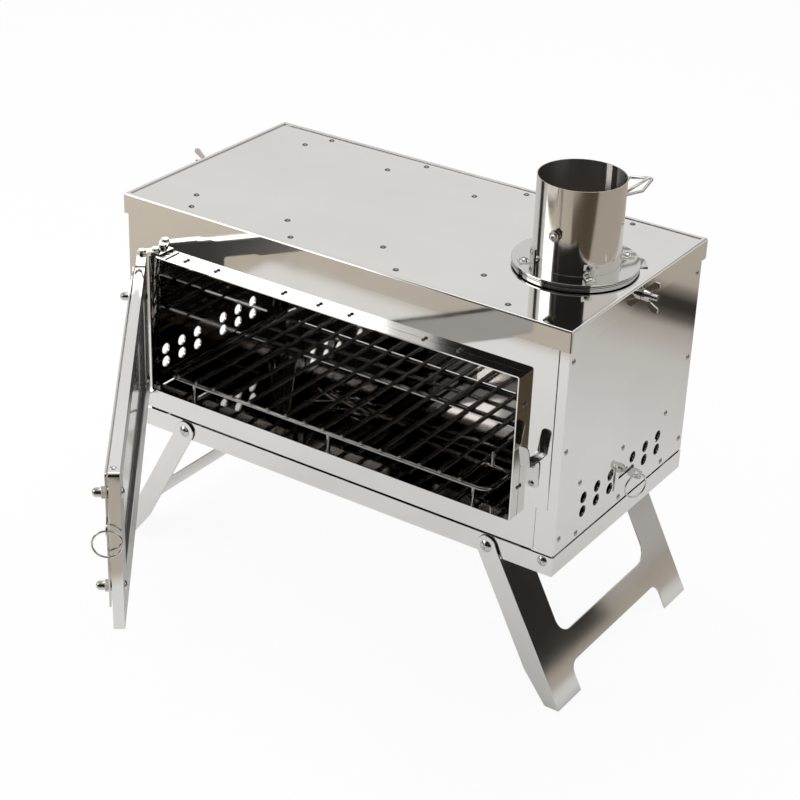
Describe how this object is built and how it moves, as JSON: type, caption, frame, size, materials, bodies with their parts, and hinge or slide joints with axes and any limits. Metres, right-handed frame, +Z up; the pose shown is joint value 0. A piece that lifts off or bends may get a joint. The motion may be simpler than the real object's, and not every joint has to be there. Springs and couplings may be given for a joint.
{
  "type": "folding tent stove",
  "caption": "Low sheet-steel folding wood stove: side-hinged glass door, lift-off lid, flue stub with damper, end air shutters, loose grate, two folding sheet legs.",
  "frame": {"origin": "on the ground under the middle of the firebox, between the two legs", "axes": "+X along the firebox's length towards the flue's end, -Y out of the mouth towards the door, +Z up along the flue"},
  "size_m": [0.4612, 0.544, 0.4068],
  "materials": {
    "sheet": "polished stainless",
    "wire": "polished wire",
    "fastener": "bright",
    "glass": "clear heat-proof",
    "seal": "flat woven tape"
  },
  "bodies": {
    "stove_body": {"base_tray": "sheet", "front_panel": "sheet", "back_panel": "sheet", "left_end_wall": "sheet", "right_end_wall": "sheet", "wall_pivot_screws": "fastener", "corner_channels": "sheet", "wall_rivets": "fastener", "left_shutter_rails": "sheet", "right_shutter_rails": "sheet", "rail_rivets": "fastener", "door_collar": "sheet", "collar_rivets": "fastener", "collar_hinge_pins": "fastener", "hinge_bracket": "sheet", "door_catch": "sheet", "catch_rivets": "fastener", "lid_studs": "fastener", "leg_pivot_screws": "fastener", "grate_rest": "sheet"},
    "leg_left": {"leg_left": "sheet"},
    "leg_right": {"leg_right": "sheet"},
    "hinge_links": {"hinge_link_top": "sheet", "hinge_link_bottom": "sheet"},
    "door": {"door_frame": "sheet", "door_liner": "sheet", "door_glass": "glass", "glass_seal": "seal", "door_outer_plate": "sheet", "door_spacers": "fastener", "door_bolts": "fastener", "door_leaves": "sheet", "door_hinge_pins": "fastener", "door_end_screw": "fastener", "hinge_washer": "fastener"},
    "door_ring": {"door_ring": "wire"},
    "lid": {"lid_shell": "sheet", "lid_rivets": "fastener", "lid_stiffeners": "sheet", "flue_seat": "sheet"},
    "flue": {"flue_base_disc": "sheet", "flue_flange": "sheet", "flue_stub": "sheet", "flue_screws": "fastener", "flue_brackets": "sheet", "bracket_rivets": "fastener"},
    "damper": {"damper_axle": "wire", "damper_plate": "sheet", "damper_clips": "sheet", "axle_nut": "fastener"},
    "wing_nut_left": {"left_wing_nut": "fastener"},
    "wing_nut_right": {"right_wing_nut": "fastener"},
    "shutter_left": {"left_shutter": "sheet"},
    "shutter_right": {"right_shutter": "sheet"},
    "shutter_ring_left": {"left_shutter_ring": "wire"},
    "shutter_ring_right": {"right_shutter_ring": "wire"},
    "grate": {"grate": "wire"}
  },
  "joints": [
    {"name": "leg_right_fold", "type": "hinge", "parent": "stove_body", "child": "leg_right", "pos_m": [0.1536, 0, 0.1273], "axis": [0, 1, 0], "range_deg": [0, 117.85]},
    {"name": "leg_left_fold", "type": "hinge", "parent": "stove_body", "child": "leg_left", "pos_m": [-0.1536, 0, 0.1273], "axis": [0, -1, 0], "range_deg": [0, 117.85]},
    {"name": "link_swing", "type": "hinge", "parent": "stove_body", "child": "hinge_links", "pos_m": [-0.179, -0.1136, 0.293], "axis": [0, 0, -1], "range_deg": [0, 45]},
    {"name": "door_swing", "type": "hinge", "parent": "hinge_links", "child": "door", "pos_m": [-0.185, -0.1237, 0.293], "axis": [0, 0, -1], "range_deg": [-52.4, 20]},
    {"name": "door_ring_swing", "type": "hinge", "parent": "door", "child": "door_ring", "pos_m": [0.03555, -0.41959, 0.24755], "axis": [0.6101, -0.7923, 0], "range_deg": [-50, 50]},
    {"name": "lid_lift", "type": "slide", "parent": "stove_body", "child": "lid", "axis": [0, 0, 1], "range_m": [0, 0.06]},
    {"name": "flue_lift", "type": "slide", "parent": "lid", "child": "flue", "axis": [0, 0, 1], "range_m": [0, 0.06]},
    {"name": "damper_turn", "type": "hinge", "parent": "flue", "child": "damper", "pos_m": [0.154, 0, 0.3687], "axis": [0, 1, 0], "range_deg": [0, 90]},
    {"name": "wing_nut_right_turn", "type": "hinge", "parent": "stove_body", "child": "wing_nut_right", "pos_m": [0.218, 0, 0.324], "axis": [1, 0, 0], "continuous": true},
    {"name": "wing_nut_left_turn", "type": "hinge", "parent": "stove_body", "child": "wing_nut_left", "pos_m": [-0.218, 0, 0.324], "axis": [-1, 0, 0], "continuous": true},
    {"name": "shutter_right_slide", "type": "slide", "parent": "stove_body", "child": "shutter_right", "axis": [0, -1, 0], "range_m": [0, 0.011]},
    {"name": "shutter_left_slide", "type": "slide", "parent": "stove_body", "child": "shutter_left", "axis": [0, -1, 0], "range_m": [0, 0.011]},
    {"name": "shutter_ring_right_swing", "type": "hinge", "parent": "shutter_right", "child": "shutter_ring_right", "pos_m": [0.2224, 0.006, 0.16395], "axis": [0, -1, 0], "range_deg": [-15, 150]},
    {"name": "shutter_ring_left_swing", "type": "hinge", "parent": "shutter_left", "child": "shutter_ring_left", "pos_m": [-0.2224, 0.006, 0.16395], "axis": [0, 1, 0], "range_deg": [-15, 150]},
    {"name": "grate_lift", "type": "slide", "parent": "stove_body", "child": "grate", "axis": [0, 0, 1], "range_m": [0, 0.06]}
  ]
}
